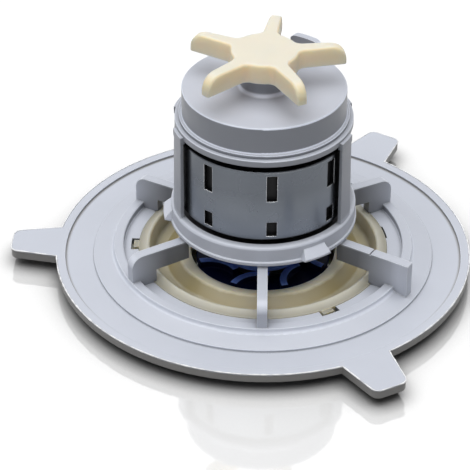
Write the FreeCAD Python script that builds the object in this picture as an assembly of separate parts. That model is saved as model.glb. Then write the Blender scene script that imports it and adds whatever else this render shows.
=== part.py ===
"""Wet-rotor unit of a dishwasher circulation pump.

A permanent-magnet rotor turns in an open cage that stands on a round cover.
The impeller hangs below the rotor in the cover's opening, inside a guide ring
that also forms the neck the unit stands on.  A five-armed wheel sits on the
shaft's free end, above the end cap.

Millimetres, +Z up.  The origin is on the rotor's axis, in the plane that the
unit stands on.  Angles are degrees about +Z, counted from +X.
"""
import FreeCAD, Part
import math
import os

# Fits
RUNNING_GAP = 0.04        # radial, shaft in its bushes
SEAT_GAP = 0.10           # radial, a moulded spigot in its seat
ON_SHAFT_GAP = 0.02       # radial, a piece carried on the shaft
THRUST_GAP = 0.30         # axial play at each thrust washer
SINK = 0.6                # how far a fused detail reaches into what carries it

# Drawing rules
FULL_TURN = 360.0
CORNER_SHARE = 0.48       # of an edge that a rounding takes when both its ends are rounded
SLIVER = 0.02             # least share of an edge that stays straight
SAME_POINT = 1e-7         # two ends closer than this are one point
COPLANAR = 0.9            # cosine between faces that run on into each other

# Cover flange
FLANGE_R = 70.0
UNDERSIDE_Z = 3.6
FLANGE_T = 3.1
RIM_Z = UNDERSIDE_Z + FLANGE_T
RIM_WIDTH = 3.0
RIM_DEPTH = 1.0           # panel below the rim
STEP_R = 57.4             # where the panel steps up to the plateau
STEP_H = 0.9
LIP_OUTER_R = 50.4
LIP_INNER_R = 47.2
LIP_H = 3.2               # lip above the rim
LIP_DRAFT = 0.4           # radial run of the lip's outer side
LIP_FOOT_H = 1.6          # height above the rim where the side runs out into the plateau
LIP_FOOT_FILLET = 2.2
SHELF_H = 0.9             # shelf inside the lip, above the rim
SHELF_T = 2.2
GROOVE_R = 55.0           # outer radius of the hollow under the lip

# Ears of the flange
EAR_COUNT = 3
EAR_FIRST = -61.7
EAR_TIP_R = 85.5
EAR_ROOT_W = 17.4
EAR_TIP_W = 11.6
EAR_CORNER = 3.0

# Rotor drum
ROTOR_R = 28.0
ROTOR_H = 26.0
ROTOR_BOTTOM_Z = 28.7
SHELL_WALL = 1.4
SHELL_END = 1.6
SHELL_EDGE = 0.5
ROTOR_BOSS_R = 7.0
ROTOR_BOSS_H = 2.2
POLE_COUNT = 8
POLE_FIRST = -84.3
WINDOW_W = 3.4
UPPER_WINDOW_H = 9.5
LOWER_WINDOW_H = 5.3
WINDOW_EDGE = 1.6         # from a window to the drum's end
MAGNET_T = 6.3
MAGNET_GAP = 1.0          # between neighbouring magnets

# Shaft and bushes
SHAFT_R = 4.0
SHAFT_END_CHAMFER = 0.5
BUSH_WALL = 2.4
UPPER_BUSH_L = 14.0
WASHER_R = 7.0
WASHER_T = 1.2

# Cage
CAGE_RING_R = 31.2
CAGE_RING_H = 7.0
CAGE_RING_BORE_R = 28.4
CAGE_RING_SHOULDER = 1.7
CAGE_RING_GAP = 1.1       # rotor's lower end above the ring
CAGE_BEAD = 0.35
CAGE_BEAD_H = 1.2
PLATE_LEDGE = 0.5
PLATE_T = 1.8
PLATE_VENTS = 6
PLATE_VENT_R = 3.2
VENT_FROM_HUB = 2.2       # plate left between the hub and a vent
TOP_RING_R = 29.2
TOP_RING_BORE_R = 26.2
TOP_RING_H = 2.4
TOP_RING_GAP = 2.5        # upper ring above the rotor
POST_ANGLES = (-26.9, 24.0, 162.0, 200.9)
POST_WIDTH = 12.8         # degrees
POST_T = 0.9
POST_FLARE = 0.4
POST_CLEARANCE = 1.2      # post to rotor
PAD_WIDTH = 13.4          # degrees
PAD_BELOW = 1.3
PAD_ABOVE = 1.2
PAD_R = 30.3
SNAP_COUNT = 3
SNAP_FIRST = -57.0
SNAP_REACH = 2.6
SNAP_TOP_W = 7.4
SNAP_FOOT_W = 10.6
SNAP_H = 4.6
SNAP_FACE_H = 0.7
SNAP_ABOVE_BOTTOM = 0.6

# Ribs between the flange and the cage
RIB_COUNT = 6
RIB_FIRST = -90.0
KEY_RIB = 1               # number of the key rib, counted from RIB_FIRST
RIB_T = 3.3
RIB_TOP_H = 12.7          # above the rim, at the leg
RIB_RISE = 0.5            # the rib's top climbs this much towards the cage
RIB_DEPTH = 6.8
RIB_INNER_R = 29.2
LEG_INNER_R = 41.3
LEG_OUTER_R = 50.2
LEG_CORNER = 4.2
LEG_OVER_RING = 0.3       # a leg's foot above the guide ring
KEY_OUTER_R = 55.4
KEY_NOTCH_W = 0.6
KEY_NOTCH_D = 0.5

# Guide ring
GUIDE_R = 42.1
GUIDE_EDGE_H = 1.1        # its rim above the cover's rim
GUIDE_CREST_H = 2.4
GUIDE_BASE_W = 2.9        # base flange beyond the rim
TROUGH_Z = 4.1
BEAD_H = 0.8
MOUTH_R = 24.4
BEAD_SHARE = 0.25         # shares of the way from the mouth to the rim
TROUGH_INNER_SHARE = 0.5
TROUGH_OUTER_SHARE = 0.705
CREST_SHARE = 0.8
MOUTH_DROP = 0.4          # the mouth's edge below the cover's rim
GUIDE_WALL = 1.6
NECK_R = 30.5
PORT_R = 27.5
PORT_DEPTH = 2.2
TAB_COUNT = 3
TAB_FIRST = -60.3
TAB_REACH = 1.7           # beyond the ring's rim
TAB_WIDTH = 5.2           # degrees
NOTCH_FIRST = -59.8       # notch in the cover's shelf, round a tab
NOTCH_REACH = 2.6
NOTCH_WIDTH = 8.6         # degrees
SLIT_AZIMUTH = 11.2       # slit between the ring's rim and the shelf
SLIT_WIDTH = 9.4          # degrees
SLIT_REACH = 0.6

# Impeller
BLADE_COUNT = 8
BLADE_FIRST = 244.5
IMPELLER_R = 22.6
BLADE_MID_R = 17.2
BLADE_MID_TURN = 5.0
BLADE_IN_R = 15.0
BLADE_IN_TURN = 34.0
BLADE_T = 2.4
IMPELLER_LIFT = 0.4       # shroud above the port's shoulder
SHROUD_T = 1.2
EYE_R = 12.6
BLADE_TOP_DROP = 0.4      # blade tips below the cover's rim
HUB_R = 7.0
HUB_DISC_R = 14.4
HUB_DISC_T = 1.4
HUB_DISC_Z = 6.6          # lower edge of the hub's cone
HUB_CONE_H = 5.6
HUB_BELOW_BUSH = 0.8
NOSE_LIFT = 2.4           # blind bore's end above the shroud's underside

# End cap
CAP_R = 26.85
CAP_H = 10.6              # top face above the upper ring
CAP_TOP_T = 2.2
CAP_WALL = 2.0
CAP_EDGE = 0.6
CAP_FLANGE_R = 27.9
CAP_FLANGE_T = 1.2
CAP_FLANGE_FILLET = 0.9
CAP_SPIGOT_L = 2.0
BOSS_R = 7.9
BOSS_H = 6.4
BOSS_FOOT = 1.6
BOSS_BORE_GAP = 0.5
LUG_AZIMUTH = 56.0
LUG_WIDTH = 26.0          # degrees
LUG_INNER_R = 23.6
LUG_T = 2.2
LUG_H = 6.6
LUG_CORNER = 2.4

# Star wheel
ARM_COUNT = 5
ARM_FIRST = 9.0
STAR_TIP_R = 26.5
STAR_T = 6.6
STAR_GAP = 0.4            # above the cap's boss
STAR_HUB_R = 11.0
ARM_ROOT_W = 5.0
ARM_TIP_W = 3.3
ARM_ROOT_FILLET = 3.0
ARM_TIP_ROUND = 5.2
ARM_EDGE = 0.8            # rounding of the top edges
STAR_BORE_ROOF = 2.0

# Heights that follow from the sizes above
SHELF_Z = RIM_Z + SHELF_H
GUIDE_BASE_R = GUIDE_R + GUIDE_BASE_W
TAB_R = GUIDE_R + TAB_REACH
NOTCH_R = GUIDE_R + NOTCH_REACH
GUIDE_SPAN = GUIDE_R - MOUTH_R
BEAD_R = MOUTH_R + BEAD_SHARE * GUIDE_SPAN
TROUGH_INNER_R = MOUTH_R + TROUGH_INNER_SHARE * GUIDE_SPAN
TROUGH_OUTER_R = MOUTH_R + TROUGH_OUTER_SHARE * GUIDE_SPAN
GUIDE_CREST_R = MOUTH_R + CREST_SHARE * GUIDE_SPAN
SHELF_UNDER_Z = SHELF_Z - SHELF_T
LIP_Z = RIM_Z + LIP_H
ROTOR_TOP_Z = ROTOR_BOTTOM_Z + ROTOR_H
CAGE_RING_TOP_Z = ROTOR_BOTTOM_Z - CAGE_RING_GAP
CAGE_RING_BOTTOM_Z = CAGE_RING_TOP_Z - CAGE_RING_H
TOP_RING_Z = ROTOR_TOP_Z + TOP_RING_GAP
TOP_RING_TOP_Z = TOP_RING_Z + TOP_RING_H
CAP_TOP_Z = TOP_RING_TOP_Z + CAP_H
BOSS_TOP_Z = CAP_TOP_Z + BOSS_H
STAR_Z = BOSS_TOP_Z + STAR_GAP
STAR_TOP_Z = STAR_Z + STAR_T
BUSH_R = SHAFT_R + RUNNING_GAP + BUSH_WALL
UPPER_WASHER_Z = ROTOR_TOP_Z + ROTOR_BOSS_H
UPPER_BUSH_Z = UPPER_WASHER_Z + WASHER_T + THRUST_GAP
LOWER_WASHER_Z = ROTOR_BOTTOM_Z - WASHER_T
LOWER_BUSH_TOP_Z = LOWER_WASHER_Z - THRUST_GAP
SHROUD_Z = PORT_DEPTH + IMPELLER_LIFT
BLADE_TOP_Z = RIM_Z - BLADE_TOP_DROP
NOSE_Z = SHROUD_Z + NOSE_LIFT
PLATE_Z = CAGE_RING_BOTTOM_Z
PLATE_TOP_Z = PLATE_Z + PLATE_T
HUB_TOP_Z = PLATE_Z - HUB_BELOW_BUSH
SHAFT_TOP_Z = STAR_TOP_Z - STAR_BORE_ROOF
BORE_ON_SHAFT_R = SHAFT_R + ON_SHAFT_GAP

AXIS = FreeCAD.Vector(0, 0, 1)
ORIGIN = FreeCAD.Vector(0, 0, 0)


def unit(dx, dy):
    length = math.hypot(dx, dy)
    return dx / length, dy / length


def wire(corners, place):
    """Closed wire through 2-D corners; a corner's third number is its rounding radius."""
    count = len(corners)
    stretches = []
    for i in range(count):
        x, y = corners[i][:2]
        before = corners[i - 1]
        after = corners[(i + 1) % count]
        in_x, in_y = unit(x - before[0], y - before[1])
        out_x, out_y = unit(after[0] - x, after[1] - y)
        radius = corners[i][2] if len(corners[i]) > 2 else 0.0
        turn = math.atan2(in_x * out_y - in_y * out_x, in_x * out_x + in_y * out_y)
        reach = radius * abs(math.tan(turn / 2))
        room_in = math.hypot(x - before[0], y - before[1]) * (CORNER_SHARE if len(before) > 2 else 1 - SLIVER)
        room_out = math.hypot(after[0] - x, after[1] - y) * (CORNER_SHARE if len(after) > 2 else 1 - SLIVER)
        room = min(room_in, room_out)
        if reach > room:
            radius = radius * room / reach
            reach = room
        if reach < 1e-6:
            stretches.append((place(x, y),))
            continue
        start = (x - reach * in_x, y - reach * in_y)
        end = (x + reach * out_x, y + reach * out_y)
        side = 1 if turn > 0 else -1
        centre = (start[0] - side * radius * in_y, start[1] + side * radius * in_x)
        mid_x, mid_y = unit(x - centre[0], y - centre[1])
        middle = (centre[0] + radius * mid_x, centre[1] + radius * mid_y)
        stretches.append((place(*start), place(*middle), place(*end)))
    edges = []
    for i in range(count):
        here = stretches[i]
        following = stretches[(i + 1) % count]
        if len(here) == 3:
            edges.append(Part.Arc(*here).toShape())
        if (following[0] - here[-1]).Length > SAME_POINT:
            edges.append(Part.LineSegment(here[-1], following[0]).toShape())
    return Part.Wire(edges)


def upright(r, z):
    return FreeCAD.Vector(r, 0, z)


def level(x, y):
    return FreeCAD.Vector(x, y, 0)


def turned(shape, azimuth):
    copy = shape.copy()
    copy.rotate(ORIGIN, AXIS, azimuth)
    return copy


def raised(shape, z):
    copy = shape.copy()
    copy.translate(FreeCAD.Vector(0, 0, z))
    return copy


def revolved(corners, middle=0.0, width=FULL_TURN):
    """Solid of revolution of an (r, z) section, all round or over a sector about an azimuth."""
    face = Part.Face(wire(corners, upright))
    solid = face.revolve(ORIGIN, AXIS, width)
    if width < FULL_TURN:
        solid = turned(solid, middle - width / 2)
    return solid


def tube(inner, outer, bottom, top):
    return revolved([(inner, bottom), (outer, bottom), (outer, top), (inner, top)])


def sector(inner, outer, bottom, top, middle, width):
    return revolved([(inner, bottom), (outer, bottom), (outer, top), (inner, top)], middle, width)


def drilled(radius, bottom, top):
    return Part.makeCylinder(radius, top - bottom, FreeCAD.Vector(0, 0, bottom))


def fin(corners, thickness, azimuth):
    """Upright plate along an azimuth, from its (r, z) outline."""
    solid = Part.Face(wire(corners, upright)).extrude(FreeCAD.Vector(0, thickness, 0))
    solid.translate(FreeCAD.Vector(0, -thickness / 2, 0))
    return turned(solid, azimuth)


def slab(corners, bottom, top):
    """Flat plate from its (x, y) outline."""
    solid = Part.Face(wire(corners, level)).extrude(FreeCAD.Vector(0, 0, top - bottom))
    return raised(solid, bottom)


def joined(first, others):
    return first.fuse(others).removeSplitter()


def around(count, first):
    return [first + i * FULL_TURN / count for i in range(count)]


def flange():
    """Round flange: rim, panel, plateau, lip and the shelf inside the lip."""
    return revolved([
        (GUIDE_R + SEAT_GAP, SHELF_UNDER_Z),
        (GUIDE_R + SEAT_GAP, SHELF_Z),
        (LIP_INNER_R, SHELF_Z, 0.4),
        (LIP_INNER_R, LIP_Z, 0.4),
        (LIP_OUTER_R, LIP_Z, 0.3),
        (LIP_OUTER_R + LIP_DRAFT, RIM_Z + LIP_FOOT_H, LIP_FOOT_FILLET),
        (STEP_R, RIM_Z - RIM_DEPTH + STEP_H, 0.3),
        (STEP_R, RIM_Z - RIM_DEPTH),
        (FLANGE_R - RIM_WIDTH, RIM_Z - RIM_DEPTH),
        (FLANGE_R - RIM_WIDTH, RIM_Z, 0.2),
        (FLANGE_R, RIM_Z, 0.4),
        (FLANGE_R, UNDERSIDE_Z, 0.3),
        (GROOVE_R, UNDERSIDE_Z),
        (GROOVE_R, SHELF_UNDER_Z),
    ])


def ears():
    root = FLANGE_R - RIM_WIDTH / 2
    outline = [
        (root, -EAR_ROOT_W / 2),
        (EAR_TIP_R, -EAR_TIP_W / 2, EAR_CORNER),
        (EAR_TIP_R, EAR_TIP_W / 2, EAR_CORNER),
        (root, EAR_ROOT_W / 2),
    ]
    ear = slab(outline, UNDERSIDE_Z, RIM_Z)
    return [turned(ear, azimuth) for azimuth in around(EAR_COUNT, EAR_FIRST)]


def rib_outline(outer, corner, notch):
    """Outline of one rib: the bar under the cage and the leg on the flange."""
    top = RIM_Z + RIB_TOP_H
    inner_top = top + RIB_RISE
    into_ring = CAGE_RING_BOTTOM_Z + SINK
    foot = RIM_Z - RIM_DEPTH + SINK / 2
    clear_z = RIM_Z + GUIDE_EDGE_H + LEG_OVER_RING
    seat_r = GUIDE_R + 2 * SEAT_GAP
    bar_z = top - RIB_DEPTH
    corners = [
        (RIB_INNER_R, into_ring),
        (CAGE_RING_R - CAGE_BEAD, into_ring),
        (CAGE_RING_R - CAGE_BEAD, inner_top),
    ]
    if notch:
        corners += [
            (LEG_INNER_R, top + RIB_RISE / 2),
            (LEG_INNER_R, top + RIB_RISE / 2 - KEY_NOTCH_D),
            (LEG_INNER_R + KEY_NOTCH_W, top + RIB_RISE / 2 - KEY_NOTCH_D),
            (LEG_INNER_R + KEY_NOTCH_W, top + RIB_RISE / 2),
        ]
    corners += [
        (outer, top, corner),
        (outer, foot),
        (LIP_INNER_R + SINK, foot),
        (LIP_INNER_R + SINK, SHELF_Z - SINK),
        (seat_r, SHELF_Z - SINK),
        (seat_r, clear_z),
        (LEG_INNER_R, clear_z),
        (LEG_INNER_R, bar_z),
        (RIB_INNER_R, bar_z + RIB_RISE),
    ]
    return corners


def ribs():
    shapes = []
    for number, azimuth in enumerate(around(RIB_COUNT, RIB_FIRST)):
        if number == KEY_RIB:
            shapes.append(fin(rib_outline(KEY_OUTER_R, 0.3, True), RIB_T, azimuth))
        else:
            shapes.append(fin(rib_outline(LEG_OUTER_R, LEG_CORNER, False), RIB_T, azimuth))
    return shapes


def lower_cage_ring():
    bottom = CAGE_RING_BOTTOM_Z
    wall = CAGE_RING_R - CAGE_BEAD
    return revolved([
        (CAGE_RING_BORE_R + PLATE_LEDGE, bottom),
        (CAGE_RING_R, bottom, 0.2),
        (CAGE_RING_R, bottom + CAGE_BEAD_H),
        (wall, bottom + CAGE_BEAD_H + CAGE_BEAD),
        (wall, CAGE_RING_TOP_Z, CAGE_RING_SHOULDER),
        (CAGE_RING_BORE_R, CAGE_RING_TOP_Z, 0.2),
        (CAGE_RING_BORE_R, bottom + PLATE_T),
        (CAGE_RING_BORE_R + PLATE_LEDGE, bottom + PLATE_T),
    ])


def upper_cage_ring():
    return revolved([
        (TOP_RING_BORE_R, TOP_RING_Z),
        (TOP_RING_R, TOP_RING_Z, 0.3),
        (TOP_RING_R, TOP_RING_TOP_Z, 0.4),
        (TOP_RING_BORE_R, TOP_RING_TOP_Z),
    ])


def posts():
    """Bars between the two cage rings, each with a pad at its top."""
    inner = ROTOR_R + POST_CLEARANCE
    foot_z = CAGE_RING_TOP_Z - SINK
    shapes = []
    pad_bottom = TOP_RING_Z - PAD_BELOW
    pad_top = TOP_RING_Z + PAD_ABOVE
    for azimuth in POST_ANGLES:
        shapes.append(revolved([
            (inner, foot_z),
            (inner + POST_T + POST_FLARE, foot_z),
            (inner + POST_T, TOP_RING_Z + SINK),
            (inner, TOP_RING_Z + SINK),
        ], azimuth, POST_WIDTH))
        shapes.append(sector(TOP_RING_R - SINK, PAD_R, pad_bottom, pad_top, azimuth, PAD_WIDTH))
    return shapes


def snap_lugs():
    """Wedges on the lower cage ring, narrower at the top."""
    bottom = CAGE_RING_BOTTOM_Z + SNAP_ABOVE_BOTTOM
    root = CAGE_RING_R - CAGE_BEAD - SINK
    tip = CAGE_RING_R - CAGE_BEAD + SNAP_REACH
    wedge = revolved([
        (root, bottom),
        (tip, bottom + SNAP_FACE_H),
        (tip, bottom + 2 * SNAP_FACE_H, 0.3),
        (root, bottom + SNAP_H),
    ], 0.0, 60.0)
    half_foot = SNAP_FOOT_W / 2
    half_top = SNAP_TOP_W / 2
    window = Part.Face(Part.makePolygon([
        FreeCAD.Vector(0, -half_foot, bottom),
        FreeCAD.Vector(0, half_foot, bottom),
        FreeCAD.Vector(0, half_top, bottom + SNAP_H),
        FreeCAD.Vector(0, -half_top, bottom + SNAP_H),
        FreeCAD.Vector(0, -half_foot, bottom),
    ])).extrude(FreeCAD.Vector(2 * tip, 0, 0))
    lug = wedge.common(window)
    return [turned(lug, azimuth) for azimuth in around(SNAP_COUNT, SNAP_FIRST)]


def pump_cover():
    """Flange, ribs and cage, moulded as one piece."""
    notches = []
    for azimuth in around(TAB_COUNT, NOTCH_FIRST):
        notches.append(sector(GUIDE_R - SINK, NOTCH_R, UNDERSIDE_Z, SHELF_Z + SINK, azimuth, NOTCH_WIDTH))
    slit_r = GUIDE_R + SLIT_REACH
    notches.append(sector(GUIDE_R - SINK, slit_r, UNDERSIDE_Z, SHELF_Z + SINK, SLIT_AZIMUTH, SLIT_WIDTH))
    body = flange().cut(notches)
    details = ears() + ribs() + [lower_cage_ring(), upper_cage_ring()] + posts() + snap_lugs()
    return joined(body, details)


def diffuser_ring():
    """Guide ring: rim, trough and mouth above, base flange and neck below."""
    crest_z = RIM_Z + GUIDE_CREST_H
    mouth_z = RIM_Z - MOUTH_DROP
    under_z = TROUGH_Z - GUIDE_WALL
    ring = revolved([
        (MOUTH_R, PORT_DEPTH),
        (PORT_R, PORT_DEPTH),
        (PORT_R, 0.0),
        (NECK_R, 0.0, 0.4),
        (NECK_R, under_z),
        (TROUGH_OUTER_R + GUIDE_WALL, under_z),
        (TROUGH_OUTER_R + GUIDE_WALL, UNDERSIDE_Z),
        (GUIDE_BASE_R, UNDERSIDE_Z),
        (GUIDE_BASE_R, SHELF_UNDER_Z),
        (GUIDE_R, SHELF_UNDER_Z),
        (GUIDE_R, RIM_Z + GUIDE_EDGE_H, 0.2),
        (GUIDE_CREST_R, crest_z, 0.6),
        (TROUGH_OUTER_R, TROUGH_Z, 1.2),
        (TROUGH_INNER_R, TROUGH_Z, 1.4),
        (BEAD_R, RIM_Z + BEAD_H, 0.8),
        (MOUTH_R, mouth_z, 0.3),
    ])
    tabs = []
    for azimuth in around(TAB_COUNT, TAB_FIRST):
        tabs.append(sector(GUIDE_R - SINK, TAB_R, SHELF_UNDER_Z, SHELF_Z, azimuth, TAB_WIDTH))
    return joined(ring, tabs)


def blade_section():
    """Plan outline of one blade: two arcs a blade's thickness apart."""
    points = []
    for radius, turn in ((IMPELLER_R, 0.0), (BLADE_MID_R, BLADE_MID_TURN), (BLADE_IN_R, BLADE_IN_TURN)):
        angle = math.radians(turn)
        points.append(FreeCAD.Vector(radius * math.cos(angle), radius * math.sin(angle), 0))
    middle = Part.Arc(*points).toShape().Curve
    outlines = []
    for offset in (BLADE_T / 2, -BLADE_T / 2):
        side = []
        for point in points:
            away = point - middle.Center
            away.normalize()
            side.append(point + away * offset)
        outlines.append(side)
    outer, inner = outlines
    edges = [
        Part.Arc(*outer).toShape(),
        Part.LineSegment(outer[-1], inner[-1]).toShape(),
        Part.Arc(inner[2], inner[1], inner[0]).toShape(),
        Part.LineSegment(inner[0], outer[0]).toShape(),
    ]
    return Part.Face(Part.Wire(edges))


def impeller():
    """Hub cone, shroud with the suction eye, and curved blades between them."""
    shroud_top = SHROUD_Z + SHROUD_T
    shroud = revolved([
        (EYE_R, SHROUD_Z, 0.4),
        (IMPELLER_R, SHROUD_Z, 0.3),
        (IMPELLER_R, shroud_top),
        (EYE_R, shroud_top, 0.4),
    ])
    cone_top = HUB_DISC_Z + HUB_CONE_H
    hub = revolved([
        (0.0, SHROUD_Z),
        (HUB_R * 0.45, SHROUD_Z, 1.0),
        (HUB_R, NOSE_Z, 1.0),
        (HUB_R, HUB_DISC_Z + HUB_CONE_H / 2, 1.5),
        (HUB_DISC_R, HUB_DISC_Z),
        (HUB_DISC_R, HUB_DISC_Z + HUB_DISC_T, 0.3),
        (HUB_R, cone_top + HUB_DISC_T, 1.5),
        (HUB_R, HUB_TOP_Z, 0.4),
        (0.0, HUB_TOP_Z),
    ])
    room = revolved([
        (HUB_R - SINK, SHROUD_Z + SHROUD_T / 2),
        (IMPELLER_R, SHROUD_Z + SHROUD_T / 2),
        (IMPELLER_R, BLADE_TOP_Z, 0.4),
        (HUB_DISC_R + HUB_DISC_T, BLADE_TOP_Z + HUB_DISC_T / 2, 2.0),
        (HUB_DISC_R - SINK, HUB_DISC_Z + HUB_DISC_T / 2),
        (HUB_R - SINK, HUB_DISC_Z + HUB_CONE_H / 2),
    ])
    blank = raised(blade_section().extrude(FreeCAD.Vector(0, 0, HUB_TOP_Z)), SHROUD_Z)
    blade = blank.common(room)
    blades = [turned(blade, azimuth) for azimuth in around(BLADE_COUNT, BLADE_FIRST)]
    return joined(shroud, [hub] + blades).cut(drilled(BORE_ON_SHAFT_R, NOSE_Z, HUB_TOP_Z + SINK))


def rotor_shell():
    """Overmould of the rotor: wall and end faces, with windows over every magnet."""
    solid = revolved([
        (SHAFT_R + ON_SHAFT_GAP, ROTOR_BOTTOM_Z),
        (ROTOR_R, ROTOR_BOTTOM_Z, SHELL_EDGE),
        (ROTOR_R, ROTOR_TOP_Z, SHELL_EDGE),
        (ROTOR_BOSS_R, ROTOR_TOP_Z),
        (ROTOR_BOSS_R, ROTOR_TOP_Z + ROTOR_BOSS_H),
        (SHAFT_R + ON_SHAFT_GAP, ROTOR_TOP_Z + ROTOR_BOSS_H),
    ])
    hollow = tube(SHAFT_R, ROTOR_R - SHELL_WALL, ROTOR_BOTTOM_Z + SHELL_END, ROTOR_TOP_Z - SHELL_END)
    windows = []
    for azimuth in around(POLE_COUNT, POLE_FIRST):
        for bottom, height in (
            (ROTOR_TOP_Z - WINDOW_EDGE - UPPER_WINDOW_H, UPPER_WINDOW_H),
            (ROTOR_BOTTOM_Z + WINDOW_EDGE, LOWER_WINDOW_H),
        ):
            depth = SHELL_WALL + 2 * SINK
            window = Part.makeBox(depth, WINDOW_W, height)
            window.translate(FreeCAD.Vector(ROTOR_R - SHELL_WALL - SINK, -WINDOW_W / 2, bottom))
            windows.append(turned(window, azimuth))
    return solid.cut([hollow] + windows)


def rotor_core():
    outer = ROTOR_R - SHELL_WALL - 2 * SEAT_GAP - MAGNET_T
    return tube(BORE_ON_SHAFT_R, outer, ROTOR_BOTTOM_Z + SHELL_END, ROTOR_TOP_Z - SHELL_END)


def magnet(azimuth):
    outer = ROTOR_R - SHELL_WALL - SEAT_GAP
    width = FULL_TURN / POLE_COUNT - math.degrees(MAGNET_GAP / outer)
    bottom = ROTOR_BOTTOM_Z + SHELL_END
    top = ROTOR_TOP_Z - SHELL_END
    return sector(outer - MAGNET_T, outer, bottom, top, azimuth, width)


def shaft():
    return revolved([
        (0.0, NOSE_Z),
        (SHAFT_R - SHAFT_END_CHAMFER, NOSE_Z),
        (SHAFT_R, NOSE_Z + SHAFT_END_CHAMFER),
        (SHAFT_R, SHAFT_TOP_Z - SHAFT_END_CHAMFER),
        (SHAFT_R - SHAFT_END_CHAMFER, SHAFT_TOP_Z),
        (0.0, SHAFT_TOP_Z),
    ])


def bush(bottom, length):
    return revolved([
        (SHAFT_R + RUNNING_GAP, bottom),
        (BUSH_R, bottom, 0.3),
        (BUSH_R, bottom + length, 0.3),
        (SHAFT_R + RUNNING_GAP, bottom + length),
    ])


def washer(bottom):
    return tube(BORE_ON_SHAFT_R, WASHER_R, bottom, bottom + WASHER_T)


def lower_bearing_plate():
    """Round plate under the rotor, with the lower bush's hub and water vents."""
    hub_r = BUSH_R + BUSH_WALL
    rim = CAGE_RING_BORE_R + PLATE_LEDGE - SEAT_GAP
    seat_top = LOWER_BUSH_TOP_Z - THRUST_GAP
    plate = revolved([
        (BUSH_R + RUNNING_GAP / 2, PLATE_Z),
        (rim, PLATE_Z),
        (rim, PLATE_TOP_Z),
        (hub_r, PLATE_TOP_Z, 1.0),
        (hub_r, seat_top, 0.4),
        (BUSH_R + RUNNING_GAP / 2, seat_top),
    ])
    middle = hub_r + VENT_FROM_HUB + PLATE_VENT_R
    vents = []
    for azimuth in around(PLATE_VENTS, 0.0):
        hole = Part.makeCylinder(PLATE_VENT_R, 3 * PLATE_T, FreeCAD.Vector(middle, 0, PLATE_Z - PLATE_T))
        vents.append(turned(hole, azimuth))
    return plate.cut(vents)


def end_cap():
    """Cap on the upper cage ring, with the upper bush's hub and the shaft's boss."""
    ring_z = TOP_RING_TOP_Z
    roof = CAP_TOP_Z - CAP_TOP_T
    spigot_r = TOP_RING_BORE_R - SEAT_GAP
    inner = spigot_r - CAP_WALL
    hub_r = BUSH_R + RUNNING_GAP / 2 + CAP_WALL
    cap = revolved([
        (0.0, UPPER_BUSH_Z),
        (hub_r, UPPER_BUSH_Z, 0.3),
        (hub_r, roof, 1.5),
        (inner, roof, 1.5),
        (inner, ring_z - CAP_SPIGOT_L),
        (spigot_r, ring_z - CAP_SPIGOT_L),
        (spigot_r, ring_z),
        (CAP_FLANGE_R, ring_z, 0.2),
        (CAP_FLANGE_R, ring_z + CAP_FLANGE_T, 0.3),
        (CAP_R, ring_z + CAP_FLANGE_T, CAP_FLANGE_FILLET),
        (CAP_R, CAP_TOP_Z, CAP_EDGE),
        (BOSS_R, CAP_TOP_Z, BOSS_FOOT),
        (BOSS_R, BOSS_TOP_Z, 0.3),
        (0.0, BOSS_TOP_Z),
    ])
    bush_top = UPPER_BUSH_Z + UPPER_BUSH_L
    pocket = drilled(BUSH_R + RUNNING_GAP / 2, UPPER_BUSH_Z - SINK, bush_top)
    passage = drilled(SHAFT_R + BOSS_BORE_GAP, bush_top - SINK, BOSS_TOP_Z + SINK)
    return joined(cap, [locating_lug()]).cut([pocket, passage])


def locating_lug():
    """Upright tongue at the back of the cap's top face, with rounded upper corners."""
    wall = sector(LUG_INNER_R, LUG_INNER_R + LUG_T, CAP_TOP_Z - SINK, CAP_TOP_Z + LUG_H, 0.0, LUG_WIDTH)
    half = (LUG_INNER_R + LUG_T) * math.sin(math.radians(LUG_WIDTH / 2))
    outline = wire([
        (-half, CAP_TOP_Z - SINK),
        (half, CAP_TOP_Z - SINK),
        (half, CAP_TOP_Z + LUG_H, LUG_CORNER),
        (-half, CAP_TOP_Z + LUG_H, LUG_CORNER),
    ], lambda y, z: FreeCAD.Vector(0, y, z))
    rounded = Part.Face(outline).extrude(FreeCAD.Vector(2 * LUG_INNER_R, 0, 0))
    return turned(wall.common(rounded), LUG_AZIMUTH)


def sharp_edges(solid, above):
    """Edges over a height where two faces meet at an angle."""
    found = []
    for edge in solid.Edges:
        faces = solid.ancestorsOfType(edge, Part.Face)
        middle = edge.valueAt((edge.FirstParameter + edge.LastParameter) / 2)
        if middle.z < above + SLIVER or len(faces) != 2:
            continue
        normals = [face.normalAt(*face.Surface.parameter(middle)) for face in faces]
        if abs(normals[0].dot(normals[1])) < COPLANAR:
            found.append(edge)
    return found


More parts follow.
